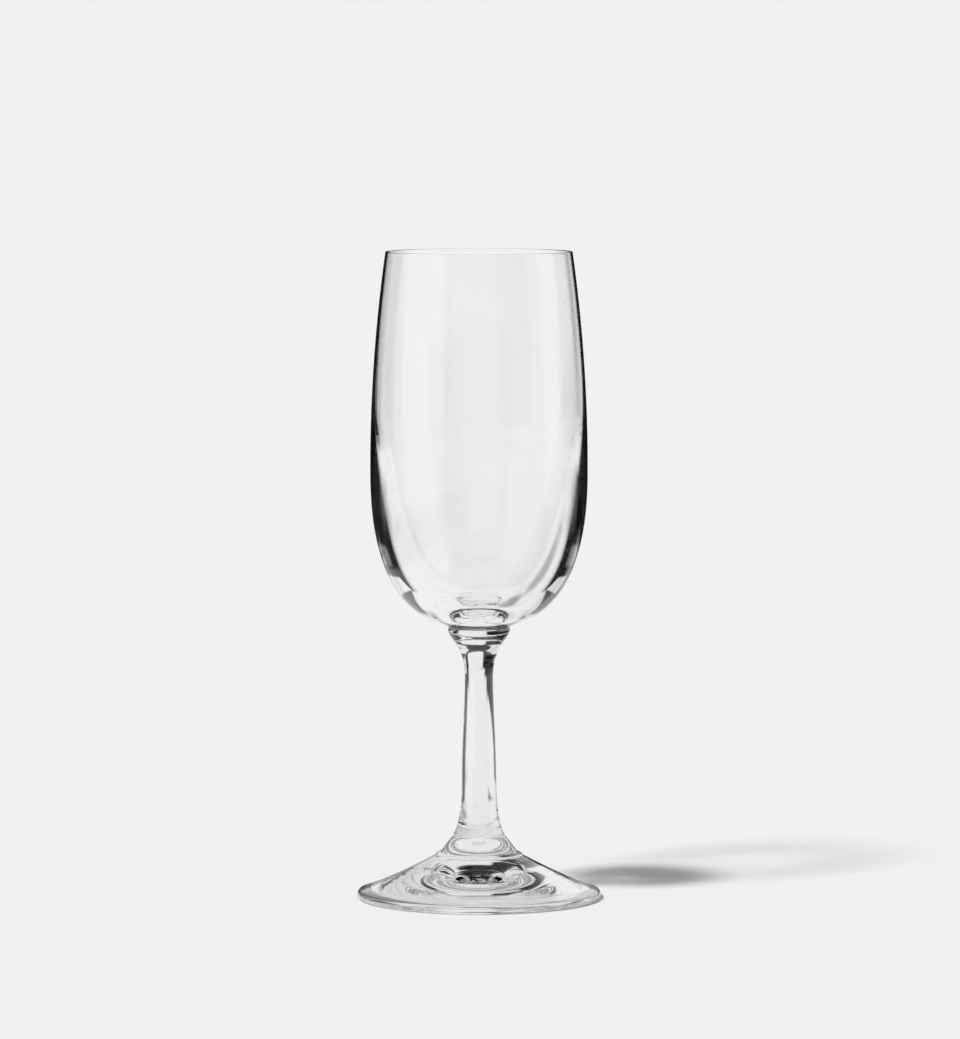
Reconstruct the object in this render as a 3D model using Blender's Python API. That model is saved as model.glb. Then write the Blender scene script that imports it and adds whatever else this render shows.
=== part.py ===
"""A stemmed champagne glass, turned from three pieces of clear glass: bowl, stem and foot.

The axis of the glass is +Z and the table is at z = 0. Outlines are lists of (radius, height)
points in metres, worked out from the driving dimensions below, and each is spun round the axis.
"""

import math

import bmesh
import bpy
from mathutils import Vector
from mathutils.geometry import interpolate_bezier

MM = 0.001

# Whole glass
HEIGHT = 175.0 * MM
WELD_GAP = 0.3 * MM
SIDES = 64

# Outside of the bowl
RIM_RADIUS = 25.2 * MM
BELLY_RADIUS = 29.3 * MM
BELLY_HEIGHT = 116.5 * MM
BOWL_BASE_HEIGHT = 73.9 * MM
BOWL_SIDE_CURVE = 2.0
BOWL_ROUND_ACROSS = 2.77
BOWL_ROUND_DOWN = 2.37
COLLAR_RADIUS = 14.6 * MM
COLLAR_TOP_PULL = (2.3 * MM, 1.13 * MM)
COLLAR_END_PULL = (0.75 * MM, 0.72 * MM)

# Inside of the bowl
RIM_WALL = 0.6 * MM
INNER_BELLY_RADIUS = 27.7 * MM
INNER_BELLY_HEIGHT = 131.0 * MM
BOWL_FLOOR_HEIGHT = 80.2 * MM
INNER_SIDE_CURVE = 1.9
INNER_ROUND_ACROSS = 2.74
INNER_ROUND_DOWN = 1.65
DIMPLE_RADIUS = 6.5 * MM
DIMPLE_DEPTH = 0.4 * MM
DIMPLE_MIDDLE = 0.5

# Welds between the three pieces, each with a shallow seam all round
HEAD_WELD_HEIGHT = 73.25 * MM
HEAD_WELD_RADIUS = 8.3 * MM
HEAD_SEAM_DEPTH = 0.35 * MM
HEAD_SEAM_RISE = 0.25 * MM
HUB_WELD_HEIGHT = 17.0 * MM
HUB_WELD_RADIUS = 6.9 * MM
HUB_SEAM_DEPTH = 0.06 * MM
HUB_SEAM_RISE = 0.05 * MM

# Stem, with the handles of its curves
WAIST_RADIUS = 3.8 * MM
WAIST_HEIGHT = 60.0 * MM
SHANK_RADIUS = 4.68 * MM
SHANK_HEIGHT = 31.0 * MM
FLARE_HANDLE = (8.4 * MM, 70.4 * MM)
WAIST_HANDLE_ABOVE = 68.9 * MM
WAIST_HANDLE_BELOW = 51.5 * MM
SHANK_HANDLE_ABOVE = (4.6 * MM, 44.0 * MM)
SHANK_HANDLE_BELOW = (4.8 * MM, 24.5 * MM)
SPREAD_HANDLE = (5.35 * MM, 19.8 * MM)

# Foot, with the handles of its curves
FOOT_RADIUS = 33.0 * MM
HUB_HANDLE = (7.92 * MM, 16.1 * MM)
STEP_HANDLE = (9.34 * MM, 13.9 * MM)
STEP_INNER = (10.36 * MM, 12.63 * MM)
STEP_CROWN = (11.07 * MM, 12.32 * MM)
STEP_CROWN_OUT = (0.3 * MM, 0.08 * MM)
STEP_FOOT = (11.94 * MM, 11.55 * MM)
STEP_FOOT_PULL = (0.02 * MM, 0.25 * MM)
CONE_HANDLE_INNER = (18.5 * MM, 8.0 * MM)
CONE_HANDLE_OUTER = (25.5 * MM, 4.49 * MM)
EDGE_RADIUS = 1.2 * MM
EDGE_SLOPE = 0.33
EDGE_END_ANGLE = -80.0
BEARING_OUTER = 31.5 * MM
BEARING_INNER = 28.9 * MM
DOME_RADIUS = 28.4 * MM
DOME_EDGE_HEIGHT = 0.39 * MM
DOME_RISE = 5.0 * MM

GLASS_COLOUR = (0.94, 0.95, 0.95, 1.0)
GLASS_ROUGHNESS = 0.02
GLASS_IOR = 1.52


def clear_scene():
    """Remove every object of the startup scene."""
    for obj in list(bpy.data.objects):
        bpy.data.objects.remove(obj, do_unlink=True)


def steps(count):
    """Even fractions from 0 to 1, both ends included."""
    return [i / (count - 1) for i in range(count)]


def bezier(start, start_handle, end_handle, end, count):
    """Points along one cubic curve in the (radius, height) plane."""
    knots = [Vector((r, h, 0.0)) for r, h in (start, start_handle, end_handle, end)]
    return [(p.x, p.y) for p in interpolate_bezier(*knots, count)]


def arc(centre, radius, start_angle, end_angle, count):
    """Points along a circular arc; angles are in degrees, from the outward direction."""
    points = []
    for t in steps(count):
        angle = math.radians(start_angle + (end_angle - start_angle) * t)
        points.append((centre[0] + radius * math.cos(angle), centre[1] + radius * math.sin(angle)))
    return points


def side_wall(belly, rim, curve, count):
    """From the belly up to the rim: the wall leans in by a power of the height."""
    points = []
    for t in steps(count):
        lean = (belly[0] - rim[0]) * t**curve
        points.append((belly[0] - lean, belly[1] + (rim[1] - belly[1]) * t))
    return points


def rounded_bottom(belly, base_height, across, down, end_radius, count):
    """From the belly down to end_radius: a quarter of a superellipse that closes at base_height."""
    end_angle = math.acos((end_radius / belly[0]) ** (across / 2))
    points = []
    for t in steps(count):
        angle = end_angle * t
        radius = belly[0] * math.cos(angle) ** (2 / across)
        drop = (belly[1] - base_height) * math.sin(angle) ** (2 / down)
        points.append((radius, belly[1] - drop))
    return points


def seam_lip(edge, depth, rise, count):
    """From a piece's edge in to the bottom of the seam: a rounded lip; rise is negative downwards."""
    points = []
    for t in steps(count):
        angle = t * math.pi / 2
        points.append((edge[0] - depth * (1 - math.cos(angle)), edge[1] + rise * math.sin(angle)))
    return points


def bowl_inside():
    """From the dimple's centre on the bowl's floor, up the inner wall to just under the rim."""
    belly = (INNER_BELLY_RADIUS, INNER_BELLY_HEIGHT)
    rim = (RIM_RADIUS - RIM_WALL, HEIGHT - RIM_WALL / 2)
    floor = rounded_bottom(
        belly, BOWL_FLOOR_HEIGHT, INNER_ROUND_ACROSS, INNER_ROUND_DOWN, DIMPLE_RADIUS, 14
    )
    dimple_rim = floor[-1]
    dimple = []
    for t in (0.0, DIMPLE_MIDDLE):
        dimple.append((DIMPLE_RADIUS * t, dimple_rim[1] - DIMPLE_DEPTH * (1 - t * t)))
    return dimple + floor[::-1] + side_wall(belly, rim, INNER_SIDE_CURVE, 9)[1:]


def bowl_outside():
    """From just under the rim, down the outer wall and the round bottom to the weld's seam."""
    belly = (BELLY_RADIUS, BELLY_HEIGHT)
    rim = (RIM_RADIUS, HEIGHT - RIM_WALL / 2)
    bottom = rounded_bottom(
        belly, BOWL_BASE_HEIGHT, BOWL_ROUND_ACROSS, BOWL_ROUND_DOWN, COLLAR_RADIUS, 13
    )
    collar_top = bottom[-1]
    collar_end = (HEAD_WELD_RADIUS, HEAD_WELD_HEIGHT + WELD_GAP + HEAD_SEAM_RISE)
    collar = bezier(
        collar_top,
        (collar_top[0] - COLLAR_TOP_PULL[0], collar_top[1] - COLLAR_TOP_PULL[1]),
        (collar_end[0] + COLLAR_END_PULL[0], collar_end[1] + COLLAR_END_PULL[1]),
        collar_end,
        5,
    )
    seam = seam_lip(collar_end, HEAD_SEAM_DEPTH, -HEAD_SEAM_RISE, 4)
    return side_wall(belly, rim, BOWL_SIDE_CURVE, 9)[::-1] + bottom[1:] + collar[1:] + seam[1:]


def bowl_outline():
    """Closed on the axis: floor, inner wall, polished rim, outer wall, weld face."""
    half_wall = RIM_WALL / 2
    lip = arc((RIM_RADIUS - half_wall, HEIGHT - half_wall), half_wall, 180, 0, 7)[1:-1]
    return bowl_inside() + lip + bowl_outside() + [(0.0, HEAD_WELD_HEIGHT + WELD_GAP)]


def stem_outline():
    """Closed on the axis: head face, flared head, waist, shank, flared base, base face."""
    base_height = HUB_WELD_HEIGHT + WELD_GAP
    head = (HEAD_WELD_RADIUS, HEAD_WELD_HEIGHT - HEAD_SEAM_RISE)
    waist = (WAIST_RADIUS, WAIST_HEIGHT)
    shank = (SHANK_RADIUS, SHANK_HEIGHT)
    base = (HUB_WELD_RADIUS, base_height + HUB_SEAM_RISE)
    head_seam = seam_lip(head, HEAD_SEAM_DEPTH, HEAD_SEAM_RISE, 4)[::-1]
    flare = bezier(head, FLARE_HANDLE, (WAIST_RADIUS, WAIST_HANDLE_ABOVE), waist, 11)
    taper = bezier(waist, (WAIST_RADIUS, WAIST_HANDLE_BELOW), SHANK_HANDLE_ABOVE, shank, 7)
    spread = bezier(shank, SHANK_HANDLE_BELOW, SPREAD_HANDLE, base, 7)
    base_seam = seam_lip(base, HUB_SEAM_DEPTH, -HUB_SEAM_RISE, 3)
    side = head_seam + flare[1:] + taper[1:] + spread[1:] + base_seam[1:]
    return [(0.0, HEAD_WELD_HEIGHT)] + side + [(0.0, base_height)]


def foot_top():
    """From the weld's seam, over the step ring and down the cone to where the edge begins."""
    hub_edge = (HUB_WELD_RADIUS, HUB_WELD_HEIGHT - HUB_SEAM_RISE)
    seam = seam_lip(hub_edge, HUB_SEAM_DEPTH, HUB_SEAM_RISE, 3)[::-1]
    hub = bezier(hub_edge, HUB_HANDLE, STEP_HANDLE, STEP_INNER, 7)
    drop = bezier(
        STEP_CROWN,
        (STEP_CROWN[0] + STEP_CROWN_OUT[0], STEP_CROWN[1] - STEP_CROWN_OUT[1]),
        (STEP_FOOT[0] - STEP_FOOT_PULL[0], STEP_FOOT[1] + STEP_FOOT_PULL[1]),
        STEP_FOOT,
        4,
    )
    cone = bezier(STEP_FOOT, CONE_HANDLE_INNER, CONE_HANDLE_OUTER, foot_edge()[0], 7)
    return seam + hub[1:] + drop + cone[1:-1]


def foot_edge():
    """The rounded outer edge, tangent to the cone above and turned in to the bearing ring."""
    centre = (FOOT_RADIUS - EDGE_RADIUS, EDGE_RADIUS)
    cone_normal = 90.0 - math.degrees(math.atan(EDGE_SLOPE))
    return arc(centre, EDGE_RADIUS, cone_normal, EDGE_END_ANGLE, 7)


def foot_underside():
    """From the bearing ring to the axis: one shallow dome."""
    dome = []
    for t in steps(12):
        rise = DOME_RISE * (1 - (1 - t) ** 2)
        dome.append((DOME_RADIUS * (1 - t), DOME_EDGE_HEIGHT + rise))
    return [(BEARING_OUTER, 0.0), (BEARING_INNER, 0.0)] + dome


def foot_outline():
    """Closed on the axis: hub face, hub, step, cone, edge, bearing ring and dome."""
    return [(0.0, HUB_WELD_HEIGHT)] + foot_top() + foot_edge() + foot_underside()


def glass_material(name):
    """Clear glass with its colour, gloss and refraction set on the shader."""
    material = bpy.data.materials.new(name)
    material.use_nodes = True
    shader = material.node_tree.nodes["Principled BSDF"]
    shader.inputs["Base Color"].default_value = GLASS_COLOUR
    shader.inputs["Roughness"].default_value = GLASS_ROUGHNESS
    shader.inputs["Metallic"].default_value = 0.0
    shader.inputs["IOR"].default_value = GLASS_IOR
    shader.inputs["Transmission Weight"].default_value = 1.0
    return material


def turn(name, outline, base_height, parent):
    """Spin an outline round the axis into one closed piece that stands at base_height."""
    bm = bmesh.new()
    points = [bm.verts.new((r, 0.0, h - base_height)) for r, h in outline]
    lines = [bm.edges.new(pair) for pair in zip(points, points[1:])]
    bmesh.ops.spin(
        bm,
        geom=points + lines,
        cent=(0.0, 0.0, 0.0),
        axis=(0.0, 0.0, 1.0),
        angle=2 * math.pi,
        steps=SIDES,
        use_merge=True,
    )
    bmesh.ops.remove_doubles(bm, verts=bm.verts, dist=0.001 * MM)
    bmesh.ops.recalc_face_normals(bm, faces=bm.faces)
    mesh = bpy.data.meshes.new(name)
    bm.to_mesh(mesh)
    bm.free()
    mesh.shade_smooth()
    mesh.set_sharp_from_angle(angle=math.radians(35))
    mesh.materials.append(glass_material(name + "_glass"))
    piece = bpy.data.objects.new(name, mesh)
    piece.location.z = base_height
    piece.parent = parent
    bpy.context.scene.collection.objects.link(piece)
    return piece


def main():
    """Build the glass from the table up."""
    clear_scene()
    axis = bpy.data.objects.new("glass_axis", None)
    bpy.context.scene.collection.objects.link(axis)
    turn("foot", foot_outline(), 0.0, axis)
    turn("stem", stem_outline(), HUB_WELD_HEIGHT + WELD_GAP, axis)
    turn("bowl", bowl_outline(), HEAD_WELD_HEIGHT + WELD_GAP, axis)


main()
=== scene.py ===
"""Looks of the champagne glass: three turned pieces of clear glass on a pale table."""

import logging
import math
from dataclasses import dataclass
from enum import Enum

import bmesh
import bpy
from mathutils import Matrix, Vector
from mathutils.geometry import interpolate_bezier


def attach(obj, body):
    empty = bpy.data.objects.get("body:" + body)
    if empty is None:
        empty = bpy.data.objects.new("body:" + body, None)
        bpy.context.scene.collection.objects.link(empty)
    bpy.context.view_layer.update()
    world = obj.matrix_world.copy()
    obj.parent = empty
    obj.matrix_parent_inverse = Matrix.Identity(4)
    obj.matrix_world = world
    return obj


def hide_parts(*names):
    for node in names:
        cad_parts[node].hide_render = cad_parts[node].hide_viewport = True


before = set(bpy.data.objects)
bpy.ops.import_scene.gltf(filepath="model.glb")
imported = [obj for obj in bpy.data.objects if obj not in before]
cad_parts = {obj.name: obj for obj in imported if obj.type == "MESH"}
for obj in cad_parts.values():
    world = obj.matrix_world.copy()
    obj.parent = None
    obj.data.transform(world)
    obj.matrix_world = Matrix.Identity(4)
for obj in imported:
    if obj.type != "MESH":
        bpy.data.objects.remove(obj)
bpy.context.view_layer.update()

MM = 0.001
LOG = logging.getLogger("champagne_glass")
MERGE_DISTANCE = 0.0005 * MM
LEVEL_TOLERANCE = 0.0001 * MM
WELD_TOLERANCE = 0.001 * MM
SHARP_ANGLE = 14.0
EVEN_BLEND = 0.5
TABLE_SIDES = 96
SENSOR_WIDTH = 36.0

# points along each curve of the outlines
WALL_POINTS = 40
BOTTOM_POINTS = 60
DIMPLE_POINTS = 12
LIP_POINTS = 25
COLLAR_POINTS = 12
SEAM_POINTS = 14
FLARE_POINTS = 30
TAPER_POINTS = 20
HUB_POINTS = 24
SHELF_POINTS = 6
DROP_POINTS = 8
CONE_POINTS = 30
EDGE_POINTS = 28
DOME_POINTS = 40

Point = tuple[float, float]
Outline = list[Point]
Span = tuple[float, float]
HeightBand = tuple[float, float, float, float]


class Face(Enum):
    """Which finish a face of a turned piece takes."""

    WALL = 0
    WELD = 1
    SIDE = 2


class Node(Enum):
    """The CAD nodes that the turned pieces stand for."""

    BOWL = "bowl"
    STEM = "stem"
    FOOT = "foot"


def steps(count: int) -> list[float]:
    """Even fractions from 0 to 1, both ends included."""
    return [i / (count - 1) for i in range(count)]


def moved(point: Point, by: Point) -> Point:
    """A point shifted by a radius and a height."""
    return (point[0] + by[0], point[1] + by[1])


def bezier(start: Point, start_handle: Point, end_handle: Point, end: Point, count: int) -> Outline:
    """Points along one cubic curve in the (radius, height) plane.

    Args:
        start: First point of the curve.
        start_handle: Handle that the curve leaves towards.
        end_handle: Handle that the curve arrives from.
        end: Last point of the curve.
        count: Number of points, both ends included.

    Returns:
        The points in order.
    """
    knots = [Vector((r, h, 0.0)) for r, h in (start, start_handle, end_handle, end)]
    return [(p.x, p.y) for p in interpolate_bezier(*knots, count)]


def arc(centre: Point, radius: float, start_angle: float, end_angle: float, count: int) -> Outline:
    """Points along a circular arc.

    Args:
        centre: Centre of the arc.
        radius: Radius of the arc.
        start_angle: First angle in degrees, from the outward direction.
        end_angle: Last angle in degrees.
        count: Number of points, both ends included.

    Returns:
        The points in order.
    """
    points = []
    for t in steps(count):
        angle = math.radians(start_angle + (end_angle - start_angle) * t)
        points.append((centre[0] + radius * math.cos(angle), centre[1] + radius * math.sin(angle)))
    return points


def side_wall(belly: Point, rim: Point, curve: float, count: int) -> Outline:
    """A wall that leans in from the belly to the rim by a power of the height.

    Args:
        belly: Widest point of the wall.
        rim: Top point of the wall.
        curve: Power of the lean.
        count: Number of points, both ends included.

    Returns:
        The points from the belly up.
    """
    points = []
    for t in steps(count):
        lean = (belly[0] - rim[0]) * t**curve
        points.append((belly[0] - lean, belly[1] + (rim[1] - belly[1]) * t))
    return points


def rounded_bottom(
    belly: Point, base_height: float, across: float, down: float, end_radius: float, count: int
) -> Outline:
    """A quarter of a superellipse from the belly down.

    Args:
        belly: Widest point, where the curve starts.
        base_height: Height at which the curve would close on the axis.
        across: Exponent across the axis.
        down: Exponent along the axis.
        end_radius: Radius at which the curve stops.
        count: Number of points, both ends included.

    Returns:
        The points from the belly down.
    """
    end_angle = math.acos((end_radius / belly[0]) ** (across / 2))
    points = []
    for t in steps(count):
        angle = end_angle * t
        radius = belly[0] * math.cos(angle) ** (2 / across)
        drop = (belly[1] - base_height) * math.sin(angle) ** (2 / down)
        points.append((radius, belly[1] - drop))
    return points


def seam_lip(edge: Point, depth: float, rise: float, count: int) -> Outline:
    """A rounded lip that turns in from a piece's edge to the bottom of a weld's seam.

    Args:
        edge: Where the piece's side ends.
        depth: How far the seam lies inside the side.
        rise: Height from the edge to the seam, negative where the seam is below.
        count: Number of points, both ends included.

    Returns:
        The points from the edge to the seam.
    """
    points = []
    for t in steps(count):
        angle = t * math.pi / 2
        points.append((edge[0] - depth * (1 - math.cos(angle)), edge[1] + rise * math.sin(angle)))
    return points


class NodeKit:
    """Short calls for building a node tree."""

    def __init__(self, tree: bpy.types.NodeTree) -> None:
        """Start from an empty tree."""
        self.tree = tree
        tree.nodes.clear()

    def add(self, kind: str, **settings: object) -> bpy.types.Node:
        """Add a node.

        Args:
            kind: Blender's name of the node type.
            **settings: Attributes to set on the node.

        Returns:
            The new node.
        """
        node = self.tree.nodes.new(kind)
        for name, value in settings.items():
            setattr(node, name, value)
        return node

    def feed(self, socket: bpy.types.NodeSocket, value: object) -> None:
        """Link a socket to the given input, or set the input's own value."""
        if isinstance(value, bpy.types.NodeSocket):
            self.tree.links.new(value, socket)
        else:
            socket.default_value = value

    def math(self, operation: str, *values: object) -> bpy.types.NodeSocket:
        """One Math node, with its result as the return value."""
        node = self.add("ShaderNodeMath", operation=operation)
        for socket, value in zip(node.inputs, values):
            self.feed(socket, value)
        return node.outputs[0]

    def ease(
        self, value: object, low: object, high: object, start: object, end: object
    ) -> bpy.types.NodeSocket:
        """Smooth change from start to end while a value goes from low to high.

        Args:
            value: Socket that drives the change.
            low: Value where the change begins.
            high: Value where the change ends.
            start: Result below low.
            end: Result above high.

        Returns:
            The result's socket.
        """
        node = self.add("ShaderNodeMapRange", interpolation_type="SMOOTHSTEP")
        for name, given in zip(
            ("Value", "From Min", "From Max", "To Min", "To Max"), (value, low, high, start, end)
        ):
            self.feed(node.inputs[name], given)
        return node.outputs["Result"]

    def facing(self) -> bpy.types.NodeSocket:
        """How far the surface turns from the eye: 0 where it faces it and 1 edge on."""
        node = self.add("ShaderNodeLayerWeight")
        self.feed(node.inputs["Blend"], EVEN_BLEND)
        return node.outputs["Facing"]

    def blend(self, factor: object, first: object, second: object) -> bpy.types.NodeSocket:
        """Mix two numbers: the first at factor 0, the second at factor 1."""
        node = self.add("ShaderNodeMix", data_type="FLOAT")
        for socket, value in zip((node.inputs[0], node.inputs[2], node.inputs[3]), (factor, first, second)):
            self.feed(socket, value)
        return node.outputs[0]

    def join(self, factor: object, first: object, second: object) -> bpy.types.NodeSocket:
        """Mix two shaders: the first at factor 0, the second at factor 1."""
        node = self.add("ShaderNodeMixShader")
        for socket, value in zip(node.inputs, (factor, first, second)):
            self.feed(socket, value)
        return node.outputs[0]


@dataclass(frozen=True)
class GlassFinish:
    """Clear soda-lime glass with the slight waviness of hot work."""

    name: str
    ior: float = 1.52
    ripple_size: float = 9.0 * MM
    ripple_depth: float = 0.02 * MM
    streak_scale: float = 60.0
    streak_low: float = 0.3
    streak_high: float = 0.7
    streak_tone: float = 0.015
    clear_tone: float = 1.0
    shadow_clear: float = 0.97
    shadow_edge: float = 0.3
    shadow_from: float = 0.2
    shadow_to: float = 0.95

    def tone(self, kit: NodeKit, place: bpy.types.NodeSocket) -> bpy.types.NodeSocket:
        """Faint streaks of the melt, close to clear.

        Args:
            kit: The material's node tree.
            place: Socket of the point on the piece.

        Returns:
            The socket of the tone that light keeps.
        """
        streak = kit.add("ShaderNodeTexNoise")
        kit.feed(streak.inputs["Vector"], place)
        kit.feed(streak.inputs["Scale"], self.streak_scale)
        dim = self.clear_tone - self.streak_tone
        return kit.ease(streak.outputs["Fac"], self.streak_low, self.streak_high, dim, self.clear_tone)

    def passed(self, kit: NodeKit, place: bpy.types.NodeSocket) -> bpy.types.NodeSocket:
        """Share of the key's light that gets through one wall, less where it is edge on.

        Args:
            kit: The material's node tree.
            place: Socket of the point on the piece.

        Returns:
            The socket of the share.
        """
        return kit.ease(kit.facing(), self.shadow_from, self.shadow_to, self.shadow_clear, self.shadow_edge)

    def material(self) -> bpy.types.Material:
        """Build the glass.

        Returns:
            The material.
        """
        material = bpy.data.materials.new(self.name)
        material.use_nodes = True
        kit = NodeKit(material.node_tree)
        place = kit.add("ShaderNodeTexCoord").outputs["Object"]
        ripple = kit.add("ShaderNodeTexNoise")
        kit.feed(ripple.inputs["Vector"], place)
        kit.feed(ripple.inputs["Scale"], 1.0 / self.ripple_size)
        kit.feed(ripple.inputs["Detail"], 1.0)
        bump = kit.add("ShaderNodeBump")
        kit.feed(bump.inputs["Height"], ripple.outputs["Fac"])
        kit.feed(bump.inputs["Distance"], self.ripple_depth)
        kit.feed(bump.inputs["Strength"], 1.0)
        shader = kit.add("ShaderNodeBsdfPrincipled")
        kit.feed(shader.inputs["Base Color"], self.tone(kit, place))
        kit.feed(shader.inputs["Roughness"], 0.0)
        kit.feed(shader.inputs["IOR"], self.ior)
        kit.feed(shader.inputs["Transmission Weight"], 1.0)
        kit.feed(shader.inputs["Normal"], bump.outputs["Normal"])
        clear = kit.add("ShaderNodeBsdfTransparent")
        kit.feed(clear.inputs["Color"], self.passed(kit, place))
        path = kit.add("ShaderNodeLightPath")
        surface = kit.join(path.outputs["Is Shadow Ray"], shader.outputs[0], clear.outputs[0])
        kit.feed(kit.add("ShaderNodeOutputMaterial").inputs["Surface"], surface)
        return material


@dataclass(frozen=True)
class BowlFinish(GlassFinish):
    """Glass of the bowl with a painted shadow: the key's light it lets through to the table is set by
    height, little under the heavy bottom, all through the belly and nearly all through the upper wall.
    """

    heavy_top: float = 80.0 * MM
    clear_from: float = 85.0 * MM
    clear_to: float = 112.0 * MM
    faint_from: float = 130.0 * MM
    bottom_shadow_share: float = 0.2

    def passed(self, kit: NodeKit, place: bpy.types.NodeSocket) -> bpy.types.NodeSocket:
        """Little through the bottom, all through the belly, nearly all through the wall.

        Args:
            kit: The material's node tree.
            place: Socket of the point on the piece.

        Returns:
            The socket of the share.
        """
        split = kit.add("ShaderNodeSeparateXYZ")
        kit.feed(split.inputs[0], place)
        height = split.outputs["Z"]
        wall = super().passed(kit, place)
        # Painted shadow: the share of the key's light passed to the table is set by height, not by how the
        # glass bends it.
        faint = kit.ease(height, self.clear_to, self.faint_from, 0.0, 1.0)
        bottom = kit.ease(height, self.heavy_top, self.clear_from, self.bottom_shadow_share, 1.0)
        return kit.math("MULTIPLY", bottom, kit.blend(faint, 1.0, wall))


@dataclass(frozen=True)
class FootFinish(GlassFinish):
    """Glass of the foot with a painted shadow: less of the key's light gets through towards the rounded
    edge, set by the distance from the axis.
    """

    edge_from: float = 29.5 * MM
    edge_to: float = 32.0 * MM
    edge_shadow_share: float = 0.4

    def passed(self, kit: NodeKit, place: bpy.types.NodeSocket) -> bpy.types.NodeSocket:
        """Nearly all through the cone, little through the edge.

        Args:
            kit: The material's node tree.
            place: Socket of the point on the piece.

        Returns:
            The socket of the share.
        """
        # Painted shadow: the edge ring passes less of the key's light, set by radius.
        level = kit.add("ShaderNodeVectorMath", operation="MULTIPLY")
        kit.feed(level.inputs[0], place)
        kit.feed(level.inputs[1], (1.0, 1.0, 0.0))
        radius = kit.add("ShaderNodeVectorMath", operation="LENGTH")
        kit.feed(radius.inputs[0], level.outputs[0])
        edge = kit.ease(radius.outputs["Value"], self.edge_from, self.edge_to, 1.0, self.edge_shadow_share)
        return kit.math("MULTIPLY", edge, super().passed(kit, place))


@dataclass(frozen=True)
class PaintedShadeSideFinish(BowlFinish):
    """Glass of the bowl's outer side, with painted shade: dark edge bands, a grey facet band and a grey
    wedge under the belly, set by height and by how edge on the wall is seen.
    """

    # Heights, facing limits and tones of the painted shade on the outer side.
    low: float = 97.0 * MM
    high: float = 142.0 * MM
    low_facing: float = 0.48
    high_facing: float = 0.745
    soft: float = 0.035
    soft_belly: float = 0.11
    belly: HeightBand = (98.0 * MM, 106.0 * MM, 112.0 * MM, 122.0 * MM)
    end_low: float = 84.0 * MM
    end_high: float = 84.8 * MM
    end_lean: float = 3.6 * MM
    end_lean_from: float = 0.02
    end_lean_to: float = 0.12
    painted_band_shade: float = 0.0008
    facet: HeightBand = (90.5 * MM, 92.0 * MM, 95.5 * MM, 97.0 * MM)
    facet_from: float = 0.6
    facet_to: float = 0.68
    painted_facet_shade: float = 0.16
    wedge_foot: float = 77.8 * MM
    wedge_top: float = 84.9 * MM
    wedge_lean: float = 7.0 * MM
    wedge_facing: float = 0.735
    wedge_widen: float = 31.0
    wedge_side_soft: float = 0.02
    wedge_top_facing: float = 0.54
    wedge_top_soft: float = 0.2 * MM
    wedge_foot_soft: float = 0.3 * MM
    painted_wedge_shade: float = 0.022

    @staticmethod
    def band(kit: NodeKit, height: bpy.types.NodeSocket, marks: HeightBand) -> bpy.types.NodeSocket:
        """A soft band of heights.

        Args:
            kit: The material's node tree.
            height: Socket of the height.
            marks: Heights where the band begins, is full, is full for the last time and ends.

        Returns:
            The socket of the band's strength.
        """
        rise = kit.ease(height, marks[0], marks[1], 0.0, 1.0)
        return kit.math("MULTIPLY", rise, kit.ease(height, marks[2], marks[3], 1.0, 0.0))

    def wedge(
        self, kit: NodeKit, height: bpy.types.NodeSocket, facing: bpy.types.NodeSocket
    ) -> bpy.types.NodeSocket:
        """The painted grey wedge of shade under the belly, wider towards its top.

        Args:
            kit: The material's node tree.
            height: Socket of the height.
            facing: Socket of how far the side turns from the eye.

        Returns:
            The socket of the wedge's strength.
        """
        # Painted shade: the wedge's grey is set by height and by how edge on the wall is seen.
        drop = kit.math("MULTIPLY", kit.math("SUBTRACT", height, self.wedge_foot), self.wedge_widen)
        past = kit.math("ADD", kit.math("SUBTRACT", facing, self.wedge_facing), drop)
        across = kit.ease(past, -self.wedge_side_soft, self.wedge_side_soft, 0.0, 1.0)
        turned = kit.math("SUBTRACT", facing, self.wedge_top_facing)
        end = kit.math("ADD", height, kit.math("MULTIPLY", turned, self.wedge_lean))
        soft = self.wedge_top_soft
        top = kit.ease(end, self.wedge_top - soft, self.wedge_top + soft, 1.0, 0.0)
        soft = self.wedge_foot_soft
        foot = kit.ease(height, self.wedge_foot - soft, self.wedge_foot + soft, 0.0, 1.0)
        return kit.math("MULTIPLY", across, kit.math("MULTIPLY", top, foot))

    def tone(self, kit: NodeKit, place: bpy.types.NodeSocket) -> bpy.types.NodeSocket:
        """Clear in the middle, with painted shade where the wall is seen edge on: dark bands, a grey facet
        band and a grey wedge.

        Args:
            kit: The material's node tree.
            place: Socket of the point on the piece.

        Returns:
            The socket of the tone that light keeps.
        """
        split = kit.add("ShaderNodeSeparateXYZ")
        kit.feed(split.inputs[0], place)
        height = split.outputs["Z"]
        # Painted shade: the wall's colour goes dark by height and by how edge on the wall is seen.
        facing = kit.facing()
        start = kit.ease(height, self.low, self.high, self.low_facing, self.high_facing)
        past = kit.math("SUBTRACT", facing, start)
        ramp = kit.blend(self.band(kit, height, self.belly), -self.soft, -self.soft_belly)
        dark = kit.ease(past, ramp, self.soft, 0.0, 1.0)
        lean = kit.ease(past, self.end_lean_from, self.end_lean_to, 0.0, self.end_lean)
        end = kit.math("SUBTRACT", height, lean)
        dark = kit.math("MULTIPLY", dark, kit.ease(end, self.end_low, self.end_high, 0.0, 1.0))
        # Painted shade: a grey band of facets at the facet heights, where the wall turns edge on.
        turned = kit.ease(facing, self.facet_from, self.facet_to, 0.0, 1.0)
        facet = kit.math("MULTIPLY", self.band(kit, height, self.facet), turned)
        deep = kit.blend(facet, self.painted_band_shade, self.painted_facet_shade)
        edge = kit.blend(dark, super().tone(kit, place), deep)
        return kit.blend(self.wedge(kit, height, facing), edge, self.painted_wedge_shade)


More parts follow.
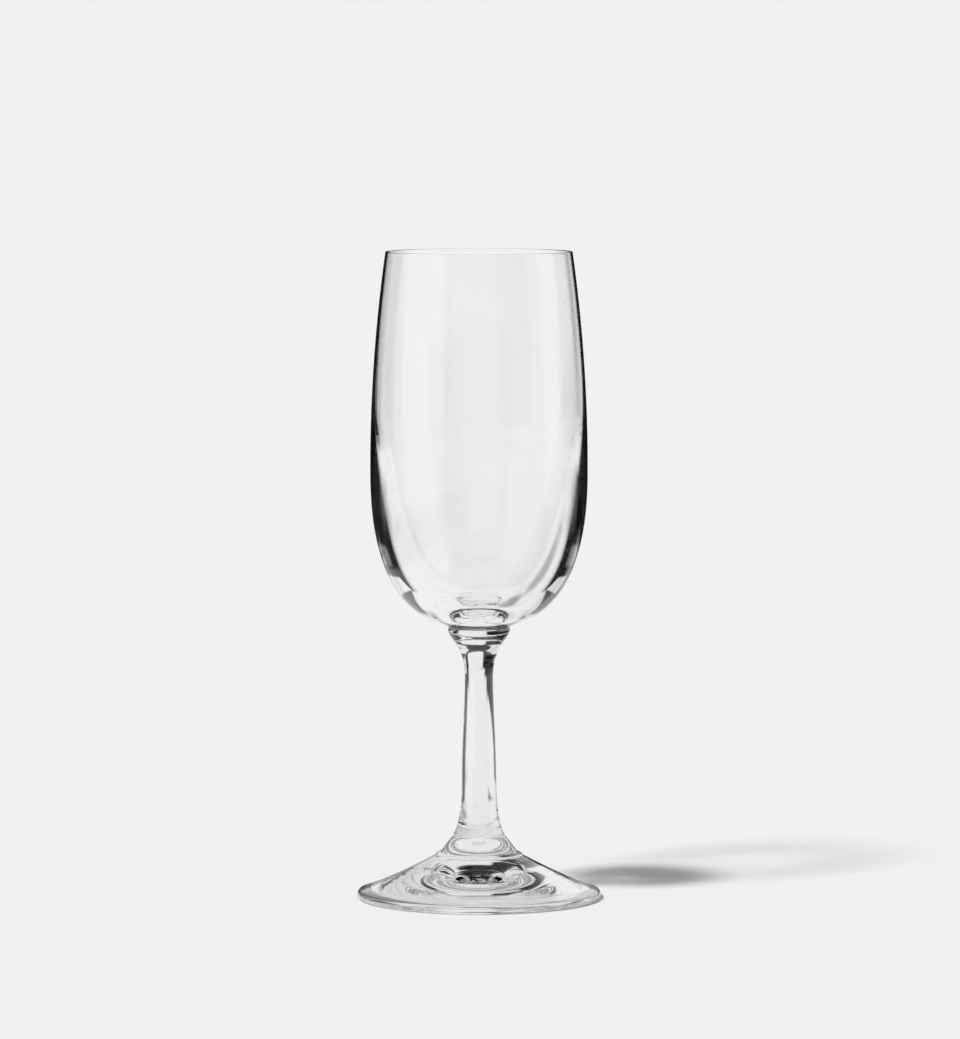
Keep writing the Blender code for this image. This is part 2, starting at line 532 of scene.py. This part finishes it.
@dataclass(frozen=True)
class WeldFinish:
    """The face where two pieces are fused: light goes straight through."""

    name: str = "fused_weld"

    def material(self) -> bpy.types.Material:
        """Build the see-through weld.

        Returns:
            The material.
        """
        material = bpy.data.materials.new(self.name)
        material.use_nodes = True
        kit = NodeKit(material.node_tree)
        clear = kit.add("ShaderNodeBsdfTransparent")
        kit.feed(kit.add("ShaderNodeOutputMaterial").inputs["Surface"], clear.outputs[0])
        return material


@dataclass
class TurnedPiece:
    """A piece of the glass that is spun round the axis."""

    node: Node
    finish: GlassFinish
    weld: WeldFinish
    sides: int = 240

    def outline(self) -> Outline:
        """The (radius, height) points from the axis, down the outside and back to the axis."""
        raise NotImplementedError

    def weld_heights(self) -> list[float]:
        """Heights of the level faces that are fused to a neighbour."""
        return []

    def side_of(self, face: bmesh.types.BMFace) -> Face:
        """The finish of a face that is not fused."""
        return Face.WALL

    def finishes(self) -> list[bpy.types.Material]:
        """The materials of the piece, in the order of the face finishes."""
        return [self.finish.material(), self.weld.material()]

    def build(self) -> bpy.types.Object:
        """Spin the outline into a closed piece and hand it to the frame.

        Returns:
            The finished piece.
        """
        bm = bmesh.new()
        points = [bm.verts.new((r, 0.0, h)) for r, h in self.outline()]
        lines = [bm.edges.new(pair) for pair in zip(points, points[1:])]
        bmesh.ops.spin(
            bm,
            geom=points + lines,
            cent=(0.0, 0.0, 0.0),
            axis=(0.0, 0.0, 1.0),
            angle=2 * math.pi,
            steps=self.sides,
            use_merge=True,
        )
        bmesh.ops.remove_doubles(bm, verts=bm.verts, dist=MERGE_DISTANCE)
        bmesh.ops.recalc_face_normals(bm, faces=bm.faces)
        for face in bm.faces:
            level = max(v.co.z for v in face.verts) - min(v.co.z for v in face.verts) < LEVEL_TOLERANCE
            height = face.verts[0].co.z
            fused = level and any(abs(height - w) < WELD_TOLERANCE for w in self.weld_heights())
            face.material_index = (Face.WELD if fused else self.side_of(face)).value
        mesh = bpy.data.meshes.new(self.node.value + "_glass")
        bm.to_mesh(mesh)
        bm.free()
        mesh.shade_smooth()
        mesh.set_sharp_from_angle(angle=math.radians(SHARP_ANGLE))
        for material in self.finishes():
            mesh.materials.append(material)
        piece = bpy.data.objects.new(mesh.name, mesh)
        bpy.context.scene.collection.objects.link(piece)
        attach(piece, "root")
        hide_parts(self.node.value)
        LOG.info("%s: %d faces", piece.name, len(mesh.polygons))
        return piece


@dataclass
class Bowl(TurnedPiece):
    """The blown bowl: thin rim, thickening wall and heavy bottom."""

    weld_height: float = 73.4 * MM
    weld_radius: float = 8.3 * MM
    seam_depth: float = 0.35 * MM
    seam_half: float = 0.4 * MM
    height: float = 175.0 * MM
    rim_radius: float = 25.2 * MM
    belly_radius: float = 29.3 * MM
    belly_height: float = 116.5 * MM
    outer_lean: float = 2.0
    outer_across: float = 2.77
    outer_down: float = 2.37
    base_height: float = 73.9 * MM
    collar_radius: float = 14.6 * MM
    collar_top_pull: Point = (-2.3 * MM, -1.13 * MM)
    collar_end_pull: Point = (0.75 * MM, 0.72 * MM)
    rim_wall: float = 0.6 * MM
    inner_belly_radius: float = 27.7 * MM
    inner_belly_height: float = 131.0 * MM
    inner_lean: float = 1.9
    inner_across: float = 2.74
    inner_down: float = 1.65
    floor_height: float = 80.2 * MM
    dimple_radius: float = 6.5 * MM
    dimple_depth: float = 0.4 * MM
    side: PaintedShadeSideFinish = PaintedShadeSideFinish("bowl_side_glass_painted_shade", shadow_clear=0.965, shadow_edge=0.8)

    def weld_heights(self) -> list[float]:
        """The face under the bottom is fused to the stem."""
        return [self.weld_height]

    def side_of(self, face: bmesh.types.BMFace) -> Face:
        """The outer side looks away from the axis."""
        middle = face.calc_center_median()
        outward = face.normal.x * middle.x + face.normal.y * middle.y
        return Face.SIDE if outward > 0 else Face.WALL

    def finishes(self) -> list[bpy.types.Material]:
        """The plain glass, the weld and the outer side with its painted shade."""
        return super().finishes() + [self.side.material()]

    def inside(self) -> Outline:
        """From the middle of the floor up the inner wall to just under the rim."""
        belly = (self.inner_belly_radius, self.inner_belly_height)
        rim = (self.rim_radius - self.rim_wall, self.height - self.rim_wall / 2)
        round_off = (self.inner_across, self.inner_down)
        floor = rounded_bottom(belly, self.floor_height, *round_off, self.dimple_radius, BOTTOM_POINTS)
        edge = floor[-1]
        dimple = []
        for t in steps(DIMPLE_POINTS)[:-1]:
            depth = self.dimple_depth * (1 - t * t)
            dimple.append((self.dimple_radius * t, edge[1] - depth))
        return dimple + floor[::-1] + side_wall(belly, rim, self.inner_lean, WALL_POINTS)[1:]

    def outside(self) -> Outline:
        """From just under the rim down the outer wall to the weld's edge."""
        belly = (self.belly_radius, self.belly_height)
        rim = (self.rim_radius, self.height - self.rim_wall / 2)
        round_off = (self.outer_across, self.outer_down)
        bottom = rounded_bottom(belly, self.base_height, *round_off, self.collar_radius, BOTTOM_POINTS)
        top = bottom[-1]
        weld_edge = (self.weld_radius, self.weld_height + self.seam_half)
        collar = bezier(
            top,
            moved(top, self.collar_top_pull),
            moved(weld_edge, self.collar_end_pull),
            weld_edge,
            COLLAR_POINTS,
        )
        seam = seam_lip(weld_edge, self.seam_depth, -self.seam_half, SEAM_POINTS)
        wall = side_wall(belly, rim, self.outer_lean, WALL_POINTS)
        return wall[::-1] + bottom[1:] + collar[1:] + seam[1:]

    def outline(self) -> Outline:
        """Floor, inner wall, polished rim, outer wall and weld face."""
        half = self.rim_wall / 2
        lip = arc((self.rim_radius - half, self.height - half), half, 180, 0, LIP_POINTS)[1:-1]
        return self.inside() + lip + self.outside() + [(0.0, self.weld_height)]


@dataclass
class Stem(TurnedPiece):
    """The drawn stem: flared head, slim waist and flared base."""

    head_height: float = 73.4 * MM
    head_radius: float = 8.3 * MM
    head_seam_depth: float = 0.35 * MM
    head_seam_half: float = 0.4 * MM
    base_height: float = 17.15 * MM
    base_radius: float = 6.9 * MM
    base_seam_depth: float = 0.06 * MM
    base_seam_half: float = 0.2 * MM
    waist_radius: float = 3.8 * MM
    waist_height: float = 60.0 * MM
    head_handle: Point = (8.4 * MM, 70.4 * MM)
    neck_handle_height: float = 68.9 * MM
    waist_handle_height: float = 51.5 * MM
    shank_upper: Point = (4.6 * MM, 44.0 * MM)
    shank_lower: Point = (4.8 * MM, 24.5 * MM)
    base_handle: Point = (5.35 * MM, 19.8 * MM)
    shank_radius: float = 4.68 * MM
    shank_height: float = 31.0 * MM

    def weld_heights(self) -> list[float]:
        """The head is fused to the bowl and the base to the foot."""
        return [self.head_height, self.base_height]

    def outline(self) -> Outline:
        """Head face, flared head, waist, shank, flared base and base face."""
        head = (self.head_radius, self.head_height - self.head_seam_half)
        waist = (self.waist_radius, self.waist_height)
        shank = (self.shank_radius, self.shank_height)
        base = (self.base_radius, self.base_height + self.base_seam_half)
        neck = (self.waist_radius, self.neck_handle_height)
        below = (self.waist_radius, self.waist_handle_height)
        flare = bezier(head, self.head_handle, neck, waist, FLARE_POINTS)
        taper = bezier(waist, below, self.shank_upper, shank, TAPER_POINTS)
        spread = bezier(shank, self.shank_lower, self.base_handle, base, TAPER_POINTS)
        top = seam_lip(head, self.head_seam_depth, self.head_seam_half, SEAM_POINTS)[::-1]
        bottom = seam_lip(base, self.base_seam_depth, -self.base_seam_half, SEAM_POINTS)
        middle = flare + taper[1:] + spread[1:]
        return [(0.0, self.head_height)] + top[:-1] + middle + bottom[1:] + [(0.0, self.base_height)]


@dataclass
class Foot(TurnedPiece):
    """The pressed foot: hub, step ring, cone, rounded edge and domed underside."""

    hub_height: float = 17.15 * MM
    hub_radius: float = 6.9 * MM
    seam_depth: float = 0.06 * MM
    seam_half: float = 0.2 * MM
    radius: float = 32.99 * MM
    hub_handle: Point = (7.92 * MM, 16.1 * MM)
    step_handle: Point = (9.34 * MM, 13.9 * MM)
    step_inner: Point = (10.36 * MM, 12.63 * MM)
    step_crown: Point = (11.07 * MM, 12.32 * MM)
    step_foot: Point = (11.94 * MM, 11.55 * MM)
    step_inner_pull: Point = (0.15 * MM, -0.06 * MM)
    step_crown_pull: Point = (-0.2 * MM, 0.05 * MM)
    step_crown_out: Point = (0.3 * MM, -0.08 * MM)
    step_foot_pull: Point = (-0.02 * MM, 0.25 * MM)
    cone_upper: Point = (18.5 * MM, 8.0 * MM)
    cone_lower: Point = (25.5 * MM, 4.49 * MM)
    edge_radius: float = 1.2 * MM
    edge_slope: float = 0.33
    edge_end_angle: float = -80.0
    bearing_outer: float = 31.5 * MM
    bearing_inner: float = 28.4 * MM
    recess_rise: float = 0.39 * MM
    dome_rise: float = 5.0 * MM

    def weld_heights(self) -> list[float]:
        """The hub's top is fused to the stem."""
        return [self.hub_height]

    def edge(self) -> Outline:
        """The rounded outer edge, tangent to the cone above it."""
        centre = (self.radius - self.edge_radius, self.edge_radius)
        cone_normal = 90.0 - math.degrees(math.atan(self.edge_slope))
        return arc(centre, self.edge_radius, cone_normal, self.edge_end_angle, EDGE_POINTS)

    def top(self) -> Outline:
        """From the weld's edge over the step ring and down the cone."""
        hub_edge = (self.hub_radius, self.hub_height - self.seam_half)
        seam = seam_lip(hub_edge, self.seam_depth, self.seam_half, SEAM_POINTS)[::-1]
        hub = bezier(hub_edge, self.hub_handle, self.step_handle, self.step_inner, HUB_POINTS)
        inner, crown, foot = self.step_inner, self.step_crown, self.step_foot
        shelf_handles = (moved(inner, self.step_inner_pull), moved(crown, self.step_crown_pull))
        drop_handles = (moved(crown, self.step_crown_out), moved(foot, self.step_foot_pull))
        shelf = bezier(inner, *shelf_handles, crown, SHELF_POINTS)
        drop = bezier(crown, *drop_handles, foot, DROP_POINTS)
        cone = bezier(foot, self.cone_upper, self.cone_lower, self.edge()[0], CONE_POINTS)
        return seam[:-1] + hub + shelf[1:] + drop[1:] + cone[1:-1]

    def underside(self) -> Outline:
        """From the bearing ring in to the axis: a small step up, then one shallow dome."""
        ring = [(self.bearing_outer, 0.0), (self.bearing_inner + self.recess_rise, 0.0)]
        dome = []
        for t in steps(DOME_POINTS):
            rise = self.dome_rise * (1 - (1 - t) ** 2)
            dome.append((self.bearing_inner * (1 - t), self.recess_rise + rise))
        return ring + dome

    def outline(self) -> Outline:
        """Hub face, hub, step, cone, edge, bearing ring and dome."""
        return [(0.0, self.hub_height)] + self.top() + self.edge() + self.underside()


@dataclass(frozen=True)
class Panel:
    """A soft-edged bright area of the surround, placed by angles in degrees."""

    azimuth: float
    half_width: float
    side_edge: float = 4.0
    low: float = -120.0
    high: float = 120.0
    level_edge: float = 2.0
    bright: float = 0.92

    def glow(self, kit: NodeKit, flat: object, height: object) -> bpy.types.NodeSocket:
        """Brightness of the panel in the direction of a ray.

        Args:
            kit: The world's node tree.
            flat: Socket of the ray's direction laid level.
            height: Socket of the ray's elevation in degrees.

        Returns:
            The socket of the brightness.
        """
        turn = math.radians(self.azimuth)
        towards = kit.add("ShaderNodeVectorMath", operation="DOT_PRODUCT")
        kit.feed(towards.inputs[0], flat)
        kit.feed(towards.inputs[1], (math.cos(turn), math.sin(turn), 0.0))
        off = kit.math("DEGREES", kit.math("ARCCOSINE", towards.outputs["Value"]))
        across = kit.ease(
            off, self.half_width - self.side_edge, self.half_width + self.side_edge, self.bright, 0.0
        )
        above = kit.ease(height, self.low - self.level_edge, self.low + self.level_edge, 0.0, 1.0)
        below = kit.ease(height, self.high - self.level_edge, self.high + self.level_edge, 1.0, 0.0)
        return kit.math("MULTIPLY", across, kit.math("MULTIPLY", above, below))


BACKLIGHT = (
    Panel(74.0, 20.0, 5.0, high=4.5, level_edge=1.5, bright=0.89),
    Panel(68.0, 22.0, 7.0, high=-7.5, level_edge=1.5, bright=0.89),
    Panel(91.0, 15.5, 3.0, high=1.5, level_edge=2.0, bright=0.89),
    Panel(95.0, 18.5, 4.0, high=-5.0, level_edge=2.0, bright=0.89),
    Panel(78.5, 21.5, 2.5, low=1.0, high=34.5, level_edge=1.5, bright=0.89),
    Panel(0.0, 180.0, 0.5, high=-19.0, level_edge=2.0, bright=0.89),
    Panel(300.0, 80.0, 10.0, high=-10.5, level_edge=1.5, bright=0.88),
    Panel(265.0, 26.0, 8.0, low=-12.0, high=38.0, bright=0.8),
    Panel(-10.0, 20.0, 4.0, low=-11.0, high=45.0, bright=0.9),
    Panel(14.0, 27.0, 4.0, low=-2.0, high=45.0, bright=0.85),
    Panel(196.0, 36.0, 5.0, low=-25.0, high=50.0, bright=0.85),
)
SHADE = Panel(44.0, 7.0, 4.0, low=-46.0, high=-31.0, level_edge=3.0, bright=0.5)
REFLECTED = (
    Panel(12.0, 28.0, 6.0, low=-11.0, high=45.0, level_edge=4.0, bright=0.85),
    Panel(186.0, 46.0, 5.0, low=-11.0, high=50.0, level_edge=4.0, bright=0.8),
    Panel(202.0, 26.0, 3.0, low=-11.0, high=50.0, level_edge=4.0, bright=0.95),
    Panel(87.0, 30.0, 6.0, high=-10.0, level_edge=2.0, bright=0.85),
    Panel(79.0, 22.0, 4.0, low=10.0, high=34.5, level_edge=2.0, bright=0.95),
    Panel(270.0, 55.0, 25.0, bright=0.1),
)


@dataclass
class Studio:
    """A pale table, a pale surround with dark sides for the glass to show, and one soft key."""

    pale: float = 0.88
    table_albedo: float = 0.8
    fill: float = 0.3
    dark: float = 0.012
    key_angle: float = 8.0
    key_azimuth: float = 223.0
    key_elevation: float = 53.0
    camera_place: tuple[float, float, float] = (0.00027, -1.560, 0.2249)
    camera_pitch: float = 4.478
    camera_lens: float = 201.07
    table_radius: float = 1.2
    fade: Span = (0.7, 1.1)
    near_fade: Span = (0.11, 0.15)
    near_right: Span = (0.05, 0.09)
    patch_left: Span = (-0.20, -0.17)
    patch_right: Span = (-0.09, -0.05)
    patch_front: Span = (-0.15, -0.10)
    patch_back: Span = (0.28, 0.4)
    bounces: int = 32
    mirror_bounces: int = 24

    def table(self) -> bpy.types.Object:
        """The pale floor, which keeps the shadow and fades into the surround.

        Returns:
            The floor object.
        """
        bm = bmesh.new()
        bmesh.ops.create_circle(bm, cap_ends=True, radius=self.table_radius, segments=TABLE_SIDES)
        mesh = bpy.data.meshes.new("table")
        bm.to_mesh(mesh)
        bm.free()
        material = bpy.data.materials.new("pale_table")
        material.use_nodes = True
        kit = NodeKit(material.node_tree)
        place = kit.add("ShaderNodeTexCoord").outputs["Object"]
        path = kit.add("ShaderNodeLightPath")
        glassy = kit.math("MAXIMUM", path.outputs["Is Glossy Ray"], path.outputs["Is Transmission Ray"])
        from_axis = kit.add("ShaderNodeVectorMath", operation="LENGTH")
        kit.feed(from_axis.inputs[0], place)
        edge = kit.ease(from_axis.outputs["Value"], *self.fade, 0.0, 1.0)
        spot = kit.add("ShaderNodeSeparateXYZ")
        kit.feed(spot.inputs[0], place)
        x, y = spot.outputs["X"], spot.outputs["Y"]
        near = kit.ease(from_axis.outputs["Value"], *self.near_fade, 1.0, 0.0)
        near = kit.math("MULTIPLY", near, kit.ease(x, *self.near_right, 1.0, 0.0))
        patch = kit.ease(x, *self.patch_left, 0.0, 1.0)
        patch = kit.math("MULTIPLY", patch, kit.ease(x, *self.patch_right, 1.0, 0.0))
        patch = kit.math("MULTIPLY", patch, kit.ease(y, *self.patch_back, 1.0, 0.0))
        patch = kit.math("MULTIPLY", patch, kit.ease(y, *self.patch_front, 0.0, 1.0))
        outside = kit.math("SUBTRACT", 1.0, kit.math("MAXIMUM", near, patch))
        gone = kit.math("MAXIMUM", edge, kit.math("MULTIPLY", glassy, outside))
        cloth = kit.add("ShaderNodeBsdfDiffuse")
        kit.feed(cloth.inputs["Color"], (self.table_albedo,) * 3 + (1.0,))
        clear = kit.add("ShaderNodeBsdfTransparent")
        surface = kit.join(gone, cloth.outputs[0], clear.outputs[0])
        kit.feed(kit.add("ShaderNodeOutputMaterial").inputs["Surface"], surface)
        mesh.materials.append(material)
        table = bpy.data.objects.new("table", mesh)
        bpy.context.scene.collection.objects.link(table)
        return table

    def surround(self) -> None:
        """The world: pale to the camera, and with dark sides for light that the glass bends."""
        world = bpy.data.worlds.new("studio")
        bpy.context.scene.world = world
        world.use_nodes = True
        kit = NodeKit(world.node_tree)
        direction = kit.add("ShaderNodeTexCoord").outputs["Generated"]
        split = kit.add("ShaderNodeSeparateXYZ")
        kit.feed(split.inputs[0], direction)
        level = kit.add("ShaderNodeCombineXYZ")
        kit.feed(level.inputs["X"], split.outputs["X"])
        kit.feed(level.inputs["Y"], split.outputs["Y"])
        normal = kit.add("ShaderNodeVectorMath", operation="NORMALIZE")
        kit.feed(normal.inputs[0], level.outputs[0])
        flat = normal.outputs[0]
        height = kit.math("DEGREES", kit.math("ARCSINE", split.outputs["Z"]))
        path = kit.add("ShaderNodeLightPath")
        glassy = kit.math("MAXIMUM", path.outputs["Is Glossy Ray"], path.outputs["Is Transmission Ray"])
        seen = self.dark
        for panel in BACKLIGHT:
            seen = kit.math("MAXIMUM", seen, panel.glow(kit, flat, height))
        seen = kit.math("MULTIPLY", seen, kit.math("SUBTRACT", 1.0, SHADE.glow(kit, flat, height)))
        mirror = self.dark
        for panel in REFLECTED:
            mirror = kit.math("MAXIMUM", mirror, panel.glow(kit, flat, height))
        glass = kit.blend(path.outputs["Is Transmission Ray"], mirror, seen)
        lit = kit.blend(glassy, self.fill, glass)
        shown = kit.blend(path.outputs["Is Camera Ray"], lit, self.pale)
        background = kit.add("ShaderNodeBackground")
        kit.feed(background.inputs["Color"], (1.0, 1.0, 1.0, 1.0))
        kit.feed(background.inputs["Strength"], shown)
        kit.feed(kit.add("ShaderNodeOutputWorld").inputs["Surface"], background.outputs[0])

    def key(self) -> bpy.types.Object:
        """The soft key from the front left, as strong as the table's tone needs.

        Returns:
            The lamp.
        """
        lamp = bpy.data.lights.new("key", "SUN")
        lamp.angle = math.radians(self.key_angle)
        rise = math.radians(self.key_elevation)
        wanted = self.pale / self.table_albedo - self.fill
        lamp.energy = wanted * math.pi / math.sin(rise)
        turn = math.radians(self.key_azimuth)
        towards = Vector(
            (math.cos(turn) * math.cos(rise), math.sin(turn) * math.cos(rise), math.sin(rise))
        )
        key = bpy.data.objects.new("key", lamp)
        key.rotation_euler = towards.to_track_quat("Z", "Y").to_euler()
        key.visible_glossy = False
        key.visible_transmission = False
        bpy.context.scene.collection.objects.link(key)
        return key

    def camera(self) -> bpy.types.Object:
        """The camera at the photograph's angle.

        Returns:
            The camera object.
        """
        data = bpy.data.cameras.new("camera")
        data.lens = self.camera_lens
        data.sensor_width = SENSOR_WIDTH
        camera = bpy.data.objects.new("camera", data)
        camera.location = self.camera_place
        camera.rotation_euler = (math.radians(90.0 - self.camera_pitch), 0.0, 0.0)
        bpy.context.scene.collection.objects.link(camera)
        bpy.context.scene.camera = camera
        return camera

    def light_paths(self) -> None:
        """Let light pass every wall of the glass."""
        scene = bpy.context.scene
        scene.view_settings.view_transform = "Standard"
        scene.cycles.max_bounces = self.bounces
        scene.cycles.transmission_bounces = self.bounces
        scene.cycles.glossy_bounces = self.mirror_bounces
        scene.cycles.transparent_max_bounces = self.bounces


def main() -> None:
    """Build the glass and its studio."""
    logging.basicConfig(level=logging.INFO)
    studio = Studio()
    studio.camera()
    studio.table()
    studio.surround()
    studio.key()
    studio.light_paths()
    weld = WeldFinish()
    blown = BowlFinish("blown_glass", shadow_clear=0.965, shadow_edge=0.8)
    drawn = GlassFinish("drawn_glass", clear_tone=0.965, shadow_clear=0.8)
    pressed = FootFinish(
        "pressed_glass", clear_tone=0.98, shadow_clear=0.99, shadow_edge=0.05, shadow_from=0.55
    )
    for piece in (
        Bowl(Node.BOWL, blown, weld),
        Stem(Node.STEM, drawn, weld),
        Foot(Node.FOOT, pressed, weld),
    ):
        piece.build()


if __name__ == "__main__":
    main()
